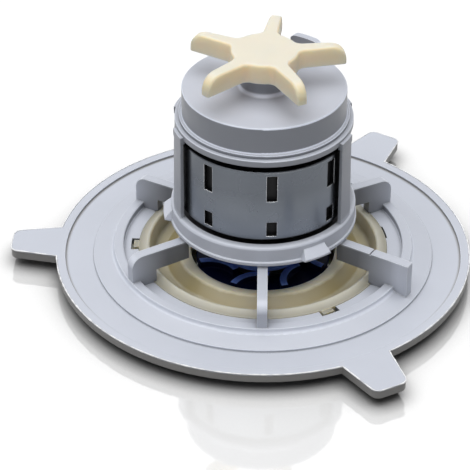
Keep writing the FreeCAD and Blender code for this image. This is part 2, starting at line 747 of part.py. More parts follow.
def star_wheel():
    """Five arms on a round hub, with filleted roots, rounded tips and soft top edges."""
    hub = drilled(STAR_HUB_R, STAR_Z, STAR_TOP_Z)
    outline = [
        (0.0, -ARM_ROOT_W / 2),
        (STAR_HUB_R, -ARM_ROOT_W / 2),
        (STAR_TIP_R + SINK, -ARM_TIP_W / 2),
        (STAR_TIP_R + SINK, ARM_TIP_W / 2),
        (STAR_HUB_R, ARM_ROOT_W / 2),
        (0.0, ARM_ROOT_W / 2),
    ]
    arm = slab(outline, STAR_Z, STAR_TOP_Z)
    star = joined(hub, [turned(arm, azimuth) for azimuth in around(ARM_COUNT, ARM_FIRST)])
    roots = []
    for edge in star.Edges:
        ends = [vertex.Point for vertex in edge.Vertexes]
        if len(ends) == 2 and abs(ends[0].z - ends[1].z) > STAR_T / 2:
            if math.hypot(ends[0].x, ends[0].y) < STAR_HUB_R + ARM_ROOT_W / 2:
                roots.append(edge)
    star = star.makeFillet(ARM_ROOT_FILLET, roots)
    room = revolved([
        (0.0, STAR_Z),
        (STAR_TIP_R, STAR_Z),
        (STAR_TIP_R, STAR_TOP_Z, ARM_TIP_ROUND),
        (0.0, STAR_TOP_Z),
    ])
    star = star.common(room)
    star = star.makeFillet(ARM_EDGE, sharp_edges(star, STAR_Z))
    return star.cut(drilled(BORE_ON_SHAFT_R, STAR_Z - SINK, SHAFT_TOP_Z))


def all_parts():
    parts = {
        "pump_cover": pump_cover(),
        "end_cap": end_cap(),
        "lower_bearing_plate": lower_bearing_plate(),
        "upper_bearing": bush(UPPER_BUSH_Z, UPPER_BUSH_L),
        "lower_bearing": bush(PLATE_Z, LOWER_BUSH_TOP_Z - PLATE_Z),
        "diffuser_ring": diffuser_ring(),
        "shaft": shaft(),
        "rotor_shell": rotor_shell(),
        "rotor_core": rotor_core(),
        "upper_thrust_washer": washer(UPPER_WASHER_Z),
        "lower_thrust_washer": washer(LOWER_WASHER_Z),
        "impeller": impeller(),
        "star_wheel": star_wheel(),
    }
    for number, azimuth in enumerate(around(POLE_COUNT, POLE_FIRST), start=1):
        parts["magnet_%d" % number] = magnet(azimuth)
    return parts


def main():
    os.makedirs("parts", exist_ok=True)
    for name, shape in all_parts().items():
        if shape.ShapeType == "Compound" and len(shape.Solids) == 1:
            shape = shape.Solids[0]
        box = shape.BoundBox
        print("%-22s solids %d valid %s volume %9.1f z %.2f..%.2f" % (
            name, len(shape.Solids), shape.isValid(), shape.Volume, box.ZMin, box.ZMax))
        shape.exportStep("parts/%s.step" % name)


main()
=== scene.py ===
"""Looks of the wet-rotor pump unit: finishes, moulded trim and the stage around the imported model."""
import math

import bmesh
import bpy
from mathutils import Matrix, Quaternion, Vector


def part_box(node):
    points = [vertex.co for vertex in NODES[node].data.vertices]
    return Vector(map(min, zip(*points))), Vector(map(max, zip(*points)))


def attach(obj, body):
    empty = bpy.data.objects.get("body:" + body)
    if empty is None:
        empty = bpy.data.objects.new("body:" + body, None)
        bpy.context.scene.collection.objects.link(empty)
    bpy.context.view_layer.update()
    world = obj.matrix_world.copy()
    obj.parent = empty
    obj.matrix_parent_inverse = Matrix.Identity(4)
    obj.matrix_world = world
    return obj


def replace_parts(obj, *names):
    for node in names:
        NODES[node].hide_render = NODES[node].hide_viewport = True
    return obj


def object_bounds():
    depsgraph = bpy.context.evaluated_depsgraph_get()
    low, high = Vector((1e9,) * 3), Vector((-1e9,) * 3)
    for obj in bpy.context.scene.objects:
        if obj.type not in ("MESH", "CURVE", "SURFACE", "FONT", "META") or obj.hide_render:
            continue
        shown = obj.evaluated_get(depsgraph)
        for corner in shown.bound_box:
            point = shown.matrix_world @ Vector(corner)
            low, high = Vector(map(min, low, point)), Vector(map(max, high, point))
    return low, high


bl_info = {
    "name": "Pump Rotor Unit",
    "version": (1, 0, 0),
    "blender": (4, 5, 0),
    "location": "View3D > Sidebar > Rotor Unit",
    "description": "Finishes and moulded trim of a dishwasher pump's rotor unit",
    "category": "Object",
}

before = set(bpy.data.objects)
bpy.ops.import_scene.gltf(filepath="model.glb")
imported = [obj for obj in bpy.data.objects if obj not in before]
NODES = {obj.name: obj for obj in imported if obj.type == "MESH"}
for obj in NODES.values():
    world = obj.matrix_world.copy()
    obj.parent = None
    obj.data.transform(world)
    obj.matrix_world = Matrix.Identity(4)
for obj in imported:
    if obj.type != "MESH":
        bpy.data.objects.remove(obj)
CAD_BOX = [list(corner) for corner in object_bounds()]
MM = 0.001

# Heights on the cover. A pair is a band over which a tone changes.
FLANGE_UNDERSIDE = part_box("diffuser_ring")[0].z + 3.6 * MM
RIM_TOP = 6.7 * MM
BELOW_RIM = (RIM_TOP - 0.6 * MM, RIM_TOP - 0.25 * MM)
RIBS_END = (19.0 * MM, 20.0 * MM)
POSTS_BEGIN = (27.5 * MM, 29.5 * MM)

# Distances from the axis on the cover
CLEAR_OF_CAGE = (37.0 * MM, 50.0 * MM)
LIP_BEGINS = (49.0 * MM, 52.0 * MM)
OUTER_SIDE = (66.0 * MM, 67.0 * MM)
MARK_CIRCLE = 63.5 * MM

# Line of the flash round the flange and its ears, in millimetres or as the name says
FLASH_RADIUS = 69.96
EAR_COUNT = 3
EAR_FIRST_DEGREES = -61.7
EAR_TIP_RADIUS = 85.5
EAR_TIP_HALF_WIDTH = 5.8
EAR_FOOT_HALF_WIDTH = 8.55
EAR_FOOT_SINK = 0.6
EAR_CORNER = 3.0
CORNER_STEPS = 6
ROOT_HALF_WIDTH = 8.45
ROOT_CLEARANCE_DEGREES = 0.6
ARC_STEPS = 90

# Impeller. A point of a blade is its distance from the axis and its degrees from the blade's outer end.
IMPELLER_LOW, IMPELLER_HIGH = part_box("impeller")
EYE_RADIUS = 12.6 * MM
SHROUD_TOP = IMPELLER_LOW.z + 1.2 * MM
SHROUD_EDGE = 0.3 * MM
HUB_RADIUS = 7.0 * MM
DISC_RADIUS = 14.4 * MM
BLADE_OUTER = (IMPELLER_HIGH.y - 0.2 * MM, 0.0)
BLADE_MIDDLE = (17.2 * MM, 5.0)
BLADE_INNER = (15.0 * MM, 34.0)
BLADE_SINK = 0.5 * MM
BLADE_TOP = 6.3 * MM
BLADE_HEAD = (BLADE_TOP - 0.4 * MM, BLADE_TOP - 0.1 * MM)

# Drum: the heights over which the paler tone of its foot fades, and the radii between end face and skin
SLEEVE_LOW, SLEEVE_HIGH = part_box("rotor_shell")
SLEEVE_FOOT = (SLEEVE_LOW.z + 3.0 * MM, SLEEVE_LOW.z + 17.0 * MM)
SLEEVE_SKIN = (SLEEVE_HIGH.x - 0.7 * MM, SLEEVE_HIGH.x - 0.5 * MM)

# Guide ring's painted light and shade outwards, lighter at the mouth and bead, darker over the trough:
# millimetres from the axis, factor on its colour, factor on its blue
GUIDE_PAINTED_TONES = (
    (24.0, 1.90, 1.90), (28.6, 1.80, 1.80), (29.6, 0.80, 0.50), (32.6, 0.68, 0.36), (33.4, 0.90, 0.75),
    (35.6, 0.74, 0.62), (36.8, 0.56, 0.46), (37.8, 0.90, 0.90), (39.2, 1.08, 1.25), (41.4, 0.74, 0.76),
    (42.5, 0.78, 0.82))

# Painted light on the star wheel: its colour on faces that are not level, lighter and warmer than its top, by
# how far they face up
STAR_PAINTED_TONES = (
    (0.0, (1.0, 0.81, 0.62, 1.0)), (0.55, (1.0, 0.76, 0.50, 1.0)), (0.8, (0.90, 0.74, 0.52, 1.0)))

# Bands of how far a face faces up: below the first it is upright, and above the second it is level
UPRIGHT = (0.05, 0.4)
LEVEL = (0.80, 0.99)

# Factors on the cover's and the cap's tone, over parts of them: below 1 they paint shade and shadow, above 1
# painted light and highlights
POST_SHADE = 0.62
RIB_ROOT_SHADOW = 0.36
LIP_SIDE_LIGHT = 1.25
CAGE_SIDE_LIGHT = 1.18
RECESS_SHADE = 0.62
COVER_EDGE_HIGHLIGHT = 1.4
CAP_SIDE_SHADE = 0.66
CAP_EDGE_HIGHLIGHT = 1.7

# Range that noise keeps to over most of a surface
NOISE_RANGE = (0.3, 0.7)

# The photograph's framing, in its own pixels, and the camera's roll
PHOTO_WIDTH = 470.0
FOCAL_LENGTH = 2058.0
AIM_LEFT = 27.9
AIM_UP = 11.6
CAMERA_ROLL = math.radians(0.57)

# Room between the object and the floor, and the lamps' directions
FLOOR_GAP = 0.02 * MM
OVERHEAD_HEADING = (0.06, 0.06, -1.0)
FRONT_HEADING = (0.55, 0.60, -0.75)
FRONT_SPREAD = math.radians(40.0)


def colour_property(label, note, default):
    return bpy.props.FloatVectorProperty(
        name=label, description=note, subtype="COLOR", size=3, min=0.0, max=1.0, default=default)


def length_property(label, note, default):
    return bpy.props.FloatProperty(
        name=label, description=note, subtype="DISTANCE", unit="LENGTH", precision=5, min=0.0,
        default=default)


def angle_property(label, note, degrees):
    return bpy.props.FloatProperty(
        name=label, description=note, subtype="ANGLE", unit="ROTATION", default=math.radians(degrees))


def strength_property(label, note, default):
    return bpy.props.FloatProperty(name=label, description=note, min=0.0, default=default)


class RotorUnitFinishes(bpy.types.PropertyGroup):
    """Colours of the unit's plastics, ceramics and metals, and of painted shade and highlights."""
    cover: colour_property("Cover", "Plastic of the cover and its cage", (0.51, 0.535, 0.60))
    # Painted shade: the flange's outer side, below its rim, is drawn darker than the cover.
    flange_side_shade: colour_property("Flange side", "Flange's outer side, below its rim", (0.26, 0.255, 0.25))
    # Painted highlight: the flash is drawn near white, as a light line along the rim's edge.
    flash: colour_property("Flash", "Thin flash along the flange's edge", (0.93, 0.94, 0.96))
    cap: colour_property("End cap", "Plastic of the end cap", (0.47, 0.495, 0.56))
    plate: colour_property("Bearing plate", "Plastic of the lower bearing plate", (0.10, 0.10, 0.11))
    drum: colour_property("Rotor drum", "Satin sleeve of the rotor", (0.178, 0.195, 0.222))
    # End faces' own dark colour, also painted as shade on the sleeve in recesses.
    drum_ends_and_shade: colour_property("Drum ends", "End faces of the rotor", (0.008, 0.008, 0.009))
    guide: colour_property("Guide ring", "Natural plastic of the guide ring", (0.47, 0.44, 0.34))
    star: colour_property("Star wheel", "Cream plastic of the star wheel", (0.76, 0.71, 0.59))
    impeller: colour_property("Impeller", "Blue plastic of the impeller", (0.18, 0.31, 1.0))
    # Painted highlight: lighter blue along the edges of the blades' tops.
    blade_edge_highlight: colour_property("Blade edges", "Edges of the blades' tops", (0.38, 0.52, 1.0))
    # Painted shade: near black between the blades, where shade falls.
    impeller_depth_shade: colour_property("Impeller depth", "Plastic between the blades", (0.0015, 0.004, 0.03))
    ferrite: colour_property("Magnets", "Sintered ferrite behind the windows", (0.006, 0.006, 0.007))
    steel: colour_property("Steel", "Shaft and core", (0.60, 0.61, 0.62))
    carbon: colour_property("Bushes", "Carbon of the two bushes", (0.035, 0.035, 0.037))
    ceramic: colour_property("Washers", "Ceramic of the thrust washers", (0.80, 0.78, 0.72))


class RotorUnitTrim(bpy.types.PropertyGroup):
    """Sizes of the impeller's blades and of the marks that moulding leaves."""
    blade_count: bpy.props.IntProperty(
        name="Blades", description="Blades of the impeller", min=2, max=15, default=8)
    blade_first: angle_property("First blade", "Azimuth of the first blade's outer end", 244.5)
    blade_thickness: length_property("Blade thickness", "Thickness of a blade", 2.4 * MM)
    blade_round: length_property("Blade rounding", "Rounding along a blade's edges", 0.45 * MM)
    flash_reach: length_property("Flash", "How far the thin flash stands out of the flange's edge", 0.34 * MM)
    flash_seed: bpy.props.IntProperty(
        name="Flash seed", description="Picks another run of the flash", default=4)
    pin_count: bpy.props.IntProperty(
        name="Ejector marks", description="Round marks that the ejector pins leave under the flange",
        min=0, max=48, default=12)
    pin_radius: length_property("Mark radius", "Radius of one ejector mark", 2.0 * MM)


class RotorUnitStage(bpy.types.PropertyGroup):
    """Camera, lamps, sky and floor."""
    camera_height: angle_property("Camera elevation", "Camera above the horizon", 34.84)
    camera_distance: length_property("Camera distance", "From the camera to the cover's middle", 0.70)
    lamp_strength: strength_property("Lamp", "Strength of the overhead lamp", 3.35)
    lamp_spread: angle_property("Lamp spread", "Angle that the overhead lamp's disc spans", 77.0)
    fill_strength: strength_property("Fill", "Strength of the front lamp", 0.12)
    sky_strength: strength_property("Sky", "Strength of the sky's fill light", 0.05)
    floor_size: length_property("Floor", "Side of the square floor", 8.0)


def settings():
    scene = bpy.context.scene
    return scene.rotor_unit_finishes, scene.rotor_unit_trim, scene.rotor_unit_stage


def add(tree, kind, **options):
    node = tree.nodes.new(kind)
    for name, value in options.items():
        setattr(node, name, value)
    return node


def feed(tree, socket, value):
    """Links an output to an input, or sets the input where the value is plain."""
    if isinstance(value, bpy.types.NodeSocket):
        tree.links.new(value, socket)
    else:
        socket.default_value = value


def maths(tree, operation, *values):
    node = add(tree, "ShaderNodeMath", operation=operation)
    for socket, value in zip(node.inputs, values):
        feed(tree, socket, value)
    return node.outputs[0]


def times(tree, first, second):
    return maths(tree, "MULTIPLY", first, second)


def noise(tree, place, size, detail=2.0, roughness=0.5):
    """Noise with features of about a size, in metres."""
    node = add(tree, "ShaderNodeTexNoise")
    feed(tree, node.inputs["Vector"], place)
    node.inputs["Scale"].default_value = 1.0 / size
    node.inputs["Detail"].default_value = detail
    node.inputs["Roughness"].default_value = roughness
    return node.outputs["Fac"]


def span(tree, value, band, low, high):
    """Maps a band of values to a range, and holds the range's ends beyond the band."""
    node = add(tree, "ShaderNodeMapRange")
    for socket, number in zip(node.inputs, (value, *band, low, high)):
        feed(tree, socket, number)
    return node.outputs[0]


def rising(tree, value, band):
    """0 before a band, 1 past it."""
    return span(tree, value, band, 0.0, 1.0)


def falling(tree, value, band):
    """1 before a band, 0 past it."""
    return span(tree, value, band, 1.0, 0.0)


def blend_colours(tree, share, first, second):
    node = add(tree, "ShaderNodeMix", data_type="RGBA")
    for socket, value in ((node.inputs[0], share), (node.inputs[6], first), (node.inputs[7], second)):
        feed(tree, socket, value)
    return node.outputs[2]


def shade(colour, factor=1.0):
    return tuple(min(1.0, channel * factor) for channel in colour) + (1.0,)


def tinted(colour, factor, blue_factor):
    """A colour with one factor on its red and another on its blue, and green between them, nearer the red."""
    red, green, blue = colour
    return (red * factor, green * (3 * factor + blue_factor) / 4, blue * blue_factor, 1.0)


def object_place(tree):
    return add(tree, "ShaderNodeTexCoord").outputs["Object"]


def blank_finish(name):
    """A new material, with its tree, its shader and the place of a point on the object."""
    material = bpy.data.materials.new(name)
    material.use_nodes = True
    tree = material.node_tree
    return material, tree, tree.nodes["Principled BSDF"], object_place(tree)


def from_axis(tree, place):
    """Distance from the axis, and height."""
    parts = add(tree, "ShaderNodeSeparateXYZ")
    feed(tree, parts.inputs[0], place)
    across = times(tree, parts.outputs["X"], parts.outputs["X"])
    along = times(tree, parts.outputs["Y"], parts.outputs["Y"])
    return maths(tree, "SQRT", maths(tree, "ADD", across, along)), parts.outputs["Z"]


def rounded_normal(tree, radius):
    node = add(tree, "ShaderNodeBevel", samples=4)
    node.inputs["Radius"].default_value = radius
    return node.outputs["Normal"]


def edge_highlight_share(tree, normal):
    """1 where the rounded normal leaves the face's own, at edges, and 0 elsewhere; it places painted
    highlights.
    """
    own = add(tree, "ShaderNodeNewGeometry").outputs["Normal"]
    node = add(tree, "ShaderNodeVectorMath", operation="DOT_PRODUCT")
    feed(tree, node.inputs[0], normal)
    feed(tree, node.inputs[1], own)
    return rising(tree, node.outputs["Value"], (0.99, 0.80))


def facing_up(tree, normal=None):
    """1 on level faces and 0 on upright ones."""
    parts = add(tree, "ShaderNodeSeparateXYZ")
    feed(tree, parts.inputs[0], normal or add(tree, "ShaderNodeNewGeometry").outputs["Normal"])
    return rising(tree, parts.outputs["Z"], (0.0, 1.0))


def half_up(tree, normal):
    """1 where a rounded edge turns from level to upright, 0 on the faces beside it."""
    tilt = facing_up(tree, normal)
    return rising(tree, times(tree, tilt, maths(tree, "SUBTRACT", 1.0, tilt)), (0.05, 0.22))


def open_share(tree, reach, band):
    """0 deep in a corner or recess, where shade falls, and 1 out in the open; it places painted shade."""
    near = add(tree, "ShaderNodeAmbientOcclusion", samples=8)
    near.inputs["Distance"].default_value = reach
    return rising(tree, near.outputs["AO"], band)


def relief(tree, height, depth, normal):
    node = add(tree, "ShaderNodeBump")
    node.inputs["Strength"].default_value = 1.0
    node.inputs["Distance"].default_value = depth
    feed(tree, node.inputs["Height"], height)
    feed(tree, node.inputs["Normal"], normal)
    return node.outputs["Normal"]


def let_light_in(skin, weight, radius, scale):
    skin.inputs["Subsurface Weight"].default_value = weight
    skin.inputs["Subsurface Radius"].default_value = radius
    skin.inputs["Subsurface Scale"].default_value = scale


def colour_so_far(tree):
    """The shader's colour input, and the output that feeds it."""
    base = tree.nodes["Principled BSDF"].inputs["Base Color"]
    return base, base.links[0].from_socket


def repaint(tree, share, colour):
    """Puts another colour over part of a finish."""
    base, body = colour_so_far(tree)
    feed(tree, base, blend_colours(tree, share, body, colour))


def retone(tree, share, factor):
    """Makes a finish darker or lighter over part of its piece."""
    _, body = colour_so_far(tree)
    scaled = add(tree, "ShaderNodeVectorMath", operation="SCALE")
    feed(tree, scaled.inputs["Vector"], body)
    scaled.inputs["Scale"].default_value = factor
    repaint(tree, share, scaled.outputs["Vector"])


def colours_by(tree, value, stops):
    """Colour that runs through (value, colour) stops."""
    lowest = stops[0][0]
    highest = stops[-1][0]
    ramp = add(tree, "ShaderNodeValToRGB")
    feed(tree, ramp.inputs["Fac"], rising(tree, value, (lowest, highest)))
    keys = ramp.color_ramp.elements
    while len(keys) < len(stops):
        keys.new(0.5)
    for key, (stop, colour) in zip(keys, stops):
        key.position = (stop - lowest) / (highest - lowest)
        key.color = colour
    return ramp.outputs["Color"]


def moulded_plastic(
        name, colour, gloss, grain_depth=0.012 * MM, cloud=0.05, edge=0.45 * MM, edge_highlight_lift=1.8, recess=0.5):
    """Injection-moulded plastic: flow clouds, fine spark-eroded grain, a painted highlight on edges that
    catch the light, and painted shade in corners and recesses.
    """
    material, tree, skin, place = blank_finish(name)
    normal = rounded_normal(tree, edge)
    clouds = noise(tree, place, 22 * MM, detail=4.0, roughness=0.55)
    body = blend_colours(tree, clouds, shade(colour, 1 - cloud), shade(colour, 1 + cloud))
    # Painted highlight: edges are drawn lighter.
    edge_highlight = times(tree, edge_highlight_share(tree, normal), 0.75)
    with_edge_highlight = blend_colours(tree, edge_highlight, body, shade(colour, edge_highlight_lift))
    # Painted shade: corners and recesses are drawn darker.
    clear = open_share(tree, 2.5 * MM, (0.25, 0.70))
    feed(tree, skin.inputs["Base Color"], blend_colours(tree, clear, shade(colour, recess), with_edge_highlight))
    patches = noise(tree, place, 6 * MM, detail=3.0)
    feed(tree, skin.inputs["Roughness"], span(tree, patches, NOISE_RANGE, gloss - 0.05, gloss + 0.06))
    grain = noise(tree, place, 0.35 * MM, detail=3.0, roughness=0.6)
    feed(tree, skin.inputs["Normal"], relief(tree, grain, grain_depth, normal))
    skin.inputs["IOR"].default_value = 1.49
    return material


def tone_cover(grey, side):
    """Painted light and shade on the cover: painted shade on the posts and in recesses, painted shadow on the
    ribs' sides towards the cage, painted light on the ribs' outer sides and the cage's lower sides, painted
    highlight on rounded edges, and a dull painted shade on the flange's outer side.
    """
    tree = grey.node_tree
    radius, height = from_axis(tree, object_place(tree))
    upright = falling(tree, facing_up(tree), UPRIGHT)
    above_ribs = times(tree, upright, rising(tree, height, RIBS_END))
    rib_sides = times(tree, upright, falling(tree, height, RIBS_END))
    hidden = maths(tree, "SUBTRACT", 1.0, open_share(tree, 12 * MM, (0.30, 0.80)))
    # Painted shade on the posts, painted shadow at the ribs' roots, painted light on the ribs' outer sides
    # and the cage's lower sides, painted shade in recesses, painted highlight on rounded edges.
    retone(tree, times(tree, upright, rising(tree, height, POSTS_BEGIN)), POST_SHADE)
    retone(tree, times(tree, rib_sides, falling(tree, radius, CLEAR_OF_CAGE)), RIB_ROOT_SHADOW)
    retone(tree, times(tree, rib_sides, rising(tree, radius, LIP_BEGINS)), LIP_SIDE_LIGHT)
    retone(tree, above_ribs, CAGE_SIDE_LIGHT)
    retone(tree, hidden, RECESS_SHADE)
    retone(tree, half_up(tree, rounded_normal(tree, 0.3 * MM)), COVER_EDGE_HIGHLIGHT)
    # Painted shade on the flange's outer side below its rim.
    flange_side_shade = times(tree, falling(tree, height, BELOW_RIM), rising(tree, radius, OUTER_SIDE))
    repaint(tree, flange_side_shade, shade(side))


def tone_cap(plastic):
    """Painted light and shade on the end cap: painted shade on its upright faces, skirt and boss, and a
    painted highlight on edges that catch the light.
    """
    tree = plastic.node_tree
    retone(tree, falling(tree, facing_up(tree), UPRIGHT), CAP_SIDE_SHADE)
    retone(tree, half_up(tree, rounded_normal(tree, 0.3 * MM)), CAP_EDGE_HIGHLIGHT)


def cream_plastic(name, colour):
    """Cream plastic that light sinks into, with painted light on faces that are turned from the lamp: they
    are drawn lighter and warmer.
    """
    material = moulded_plastic(name, colour, 0.44, cloud=0.03, edge=0.4 * MM, edge_highlight_lift=1.12)
    tree = material.node_tree
    tilt = facing_up(tree)
    # Painted light: sides are drawn lighter and warmer.
    repaint(tree, falling(tree, tilt, LEVEL), colours_by(tree, tilt, STAR_PAINTED_TONES))
    let_light_in(tree.nodes["Principled BSDF"], weight=1.0, radius=(1.0, 0.85, 0.65), scale=4.0 * MM)
    return material


def translucent_plastic(name, colour):
    """Natural plastic with painted light and shade: its thin mouth and bead are drawn lighter for light that
    gathers there, its thick trough deeper in tone for shade, and its edges with painted highlights.
    """
    material, tree, skin, place = blank_finish(name)
    normal = rounded_normal(tree, 0.5 * MM)
    flow = noise(tree, place, 9 * MM, detail=4.0, roughness=0.6)
    radius, _ = from_axis(tree, place)
    wander = times(tree, maths(tree, "SUBTRACT", flow, 0.5), 1.6 * MM)
    # Painted light and shade by distance from the axis.
    tone = colours_by(tree, maths(tree, "ADD", radius, wander), [
        (stop * MM, tinted(colour, factor, blue_factor)) for stop, factor, blue_factor in GUIDE_PAINTED_TONES])
    # Painted highlight: edges are drawn lighter.
    edges = times(tree, edge_highlight_share(tree, normal), 0.7)
    feed(tree, skin.inputs["Base Color"], blend_colours(tree, edges, tone, shade(colour, 1.8)))
    feed(tree, skin.inputs["Roughness"], span(tree, noise(tree, place, 5 * MM), NOISE_RANGE, 0.30, 0.42))
    grain = noise(tree, place, 0.6 * MM, detail=3.0)
    feed(tree, skin.inputs["Normal"], relief(tree, grain, 0.015 * MM, normal))
    let_light_in(skin, weight=0.8, radius=(1.0, 0.85, 0.55), scale=5.0 * MM)
    skin.inputs["IOR"].default_value = 1.5
    return material


def glossy_plastic(name, colour, lit, deep):
    """Blue plastic with a smooth skin, with painted shade near black down between the blades, and lighter
    along their tops with a painted highlight on their edges.
    """
    material, tree, skin, place = blank_finish(name)
    normal = rounded_normal(tree, 0.5 * MM)
    # Painted highlight along the edges of the blades' tops.
    thin = times(tree, edge_highlight_share(tree, normal), 0.8)
    clouds = noise(tree, place, 9 * MM, detail=3.0)
    _, height = from_axis(tree, place)
    body = blend_colours(tree, clouds, shade(colour, 0.8), shade(colour, 1.25))
    top = blend_colours(tree, thin, body, shade(lit))
    # Painted shade: near black below the blades' tops.
    raised = rising(tree, height, BLADE_HEAD)
    feed(tree, skin.inputs["Base Color"], blend_colours(tree, raised, shade(deep), top))
    feed(tree, skin.inputs["Roughness"], span(tree, noise(tree, place, 3 * MM), NOISE_RANGE, 0.34, 0.46))
    feed(tree, skin.inputs["Normal"], relief(tree, noise(tree, place, 1.2 * MM), 0.01 * MM, normal))
    skin.inputs["Specular IOR Level"].default_value = 0.08
    return material


def ring_lines(tree, place, size):
    """Fine lines round the axis, as turning leaves them."""
    radius, height = from_axis(tree, place)
    line = add(tree, "ShaderNodeCombineXYZ")
    feed(tree, line.inputs["X"], radius)
    feed(tree, line.inputs["Y"], height)
    return noise(tree, line.outputs[0], size, detail=4.0, roughness=0.7)


def turned_metal(name, colour, gloss):
    material, tree, skin, place = blank_finish(name)
    lines = ring_lines(tree, place, 0.5 * MM)
    feed(tree, skin.inputs["Base Color"], blend_colours(tree, lines, shade(colour, 0.86), shade(colour, 1.1)))
    feed(tree, skin.inputs["Roughness"], span(tree, lines, NOISE_RANGE, gloss - 0.07, gloss + 0.1))
    feed(tree, skin.inputs["Normal"], relief(tree, lines, 0.01 * MM, rounded_normal(tree, 0.2 * MM)))
    skin.inputs["Metallic"].default_value = 1.0
    return material


def sintered(name, colour, gloss, pore):
    """Ferrite, carbon and ceramic: a dense body with fine pores."""
    material, tree, skin, place = blank_finish(name)
    pores = noise(tree, place, pore, detail=5.0, roughness=0.7)
    feed(tree, skin.inputs["Base Color"], blend_colours(tree, pores, shade(colour, 0.7), shade(colour, 1.3)))
    feed(tree, skin.inputs["Roughness"], span(tree, pores, NOISE_RANGE, gloss - 0.08, gloss + 0.1))
    feed(tree, skin.inputs["Normal"], relief(tree, pores, 0.02 * MM, rounded_normal(tree, 0.25 * MM)))
    skin.inputs["Specular IOR Level"].default_value = 0.2
    return material


def satin_drum(name, colour, dark):
    """Satin sleeve of the drum, paler towards its foot, with faint turned lines, a painted highlight along
    its edges and dark end faces, whose colour is also painted as shade on the sleeve in recesses, as near the
    posts.
    """
    material, tree, skin, place = blank_finish(name)
    normal = rounded_normal(tree, 0.4 * MM)
    lines = ring_lines(tree, place, 0.9 * MM)
    clouds = noise(tree, place, 12 * MM, detail=4.0)
    mixed = maths(tree, "ADD", times(tree, lines, 0.4), times(tree, clouds, 0.6))
    radius, height = from_axis(tree, place)
    lower = blend_colours(tree, mixed, shade(colour, 1.10), shade(colour, 1.28))
    upper = blend_colours(tree, mixed, shade(colour, 0.66), shade(colour, 0.80))
    sleeve = blend_colours(tree, falling(tree, height, SLEEVE_FOOT), upper, lower)
    # Painted highlight along the sleeve's edges.
    with_edge_highlight = blend_colours(tree, edge_highlight_share(tree, normal), sleeve, (0.85, 0.86, 0.88, 1.0))
    outside = rising(tree, radius, SLEEVE_SKIN)
    # Painted shade: the sleeve takes the dark end colour where it is occluded.
    bright = times(tree, outside, open_share(tree, 3.5 * MM, (0.55, 0.95)))
    feed(tree, skin.inputs["Base Color"], blend_colours(tree, bright, shade(dark), with_edge_highlight))
    feed(tree, skin.inputs["Metallic"], times(tree, outside, 0.85))
    feed(tree, skin.inputs["Roughness"], span(tree, clouds, NOISE_RANGE, 0.20, 0.30))
    feed(tree, skin.inputs["Normal"], relief(tree, lines, 0.008 * MM, normal))
    return material


def dress(material, *names):
    for name in names:
        mesh = NODES[name].data
        mesh.materials.clear()
        mesh.materials.append(material)


def polar(radius, turn):
    """A point on the ground plane, from its distance and its direction in degrees."""
    return (radius * math.cos(math.radians(turn)), radius * math.sin(math.radians(turn)), 0.0)


def lathe(profile, steps):
    """Closed surface of revolution about Z from an (r, z) outline that runs from the axis or round a ring."""
    body = bmesh.new()
    turns = [2 * math.pi * step / steps for step in range(steps)]
    rings = []
    for radius, height in profile:
        rings.append([
            body.verts.new((radius * math.cos(turn), radius * math.sin(turn), height))
            for turn in (turns if radius else (0.0,))])
    for index, lower in enumerate(rings):
        upper = rings[(index + 1) % len(rings)]
        if len(lower) == 1 and len(upper) == 1:
            continue
        for step in range(steps):
            after = (step + 1) % steps
            corners = [
                lower[step % len(lower)], lower[after % len(lower)],
                upper[after % len(upper)], upper[step % len(upper)]]
            body.faces.new(list(dict.fromkeys(corners)))
    bmesh.ops.recalc_face_normals(body, faces=body.faces)
    return body


def piece_from(body, name):
    mesh = bpy.data.meshes.new(name)
    body.to_mesh(mesh)
    body.free()
    piece = bpy.data.objects.new(name, mesh)
    bpy.context.scene.collection.objects.link(piece)
    return piece


def smooth(piece, angle=35.0):
    for face in piece.data.polygons:
        face.use_smooth = True
    piece.data.set_sharp_from_angle(angle=math.radians(angle))


def new_tree(name, inputs):
    """Geometry tree with named inputs. Gives the tree, its given values, their identifiers and its end."""
    tree = bpy.data.node_groups.new(name, "GeometryNodeTree")
    tree.interface.new_socket("Geometry", in_out="INPUT", socket_type="NodeSocketGeometry")
    identifiers = {}
    for label, kind in inputs:
        identifiers[label] = tree.interface.new_socket(label, in_out="INPUT", socket_type=kind).identifier
    tree.interface.new_socket("Geometry", in_out="OUTPUT", socket_type="NodeSocketGeometry")
    start = add(tree, "NodeGroupInput")
    end = add(tree, "NodeGroupOutput")
    return tree, start.outputs, identifiers, end.inputs["Geometry"]


def close_tree(tree, geometry, material, end):
    realized = add(tree, "GeometryNodeRealizeInstances")
    feed(tree, realized.inputs["Geometry"], geometry)
    coated = add(tree, "GeometryNodeSetMaterial")
    feed(tree, coated.inputs["Geometry"], realized.outputs[0])
    feed(tree, coated.inputs["Material"], material)
    feed(tree, end, coated.outputs[0])


def grown(piece, tree, identifiers, values):
    """Runs a tree on a piece and keeps the result as its plain mesh."""
    growth = piece.modifiers.new("growth", "NODES")
    growth.node_group = tree
    for label, value in values.items():
        growth[identifiers[label]] = value
    bpy.context.view_layer.update()
    graph = bpy.context.evaluated_depsgraph_get()
    mesh = bpy.data.meshes.new_from_object(piece.evaluated_get(graph))
    piece.modifiers.remove(growth)
    old = piece.data
    piece.data = mesh
    mesh.name = piece.name
    bpy.data.meshes.remove(old)


def shifted(tree, geometry, **offset):
    """A shape moved along the axes that are named."""
    shift = add(tree, "ShaderNodeCombineXYZ")
    for axis, distance in offset.items():
        feed(tree, shift.inputs[axis], distance)
    moved = add(tree, "GeometryNodeSetPosition")
    feed(tree, moved.inputs["Geometry"], geometry)
    feed(tree, moved.inputs["Offset"], shift.outputs[0])
    return moved.outputs[0]


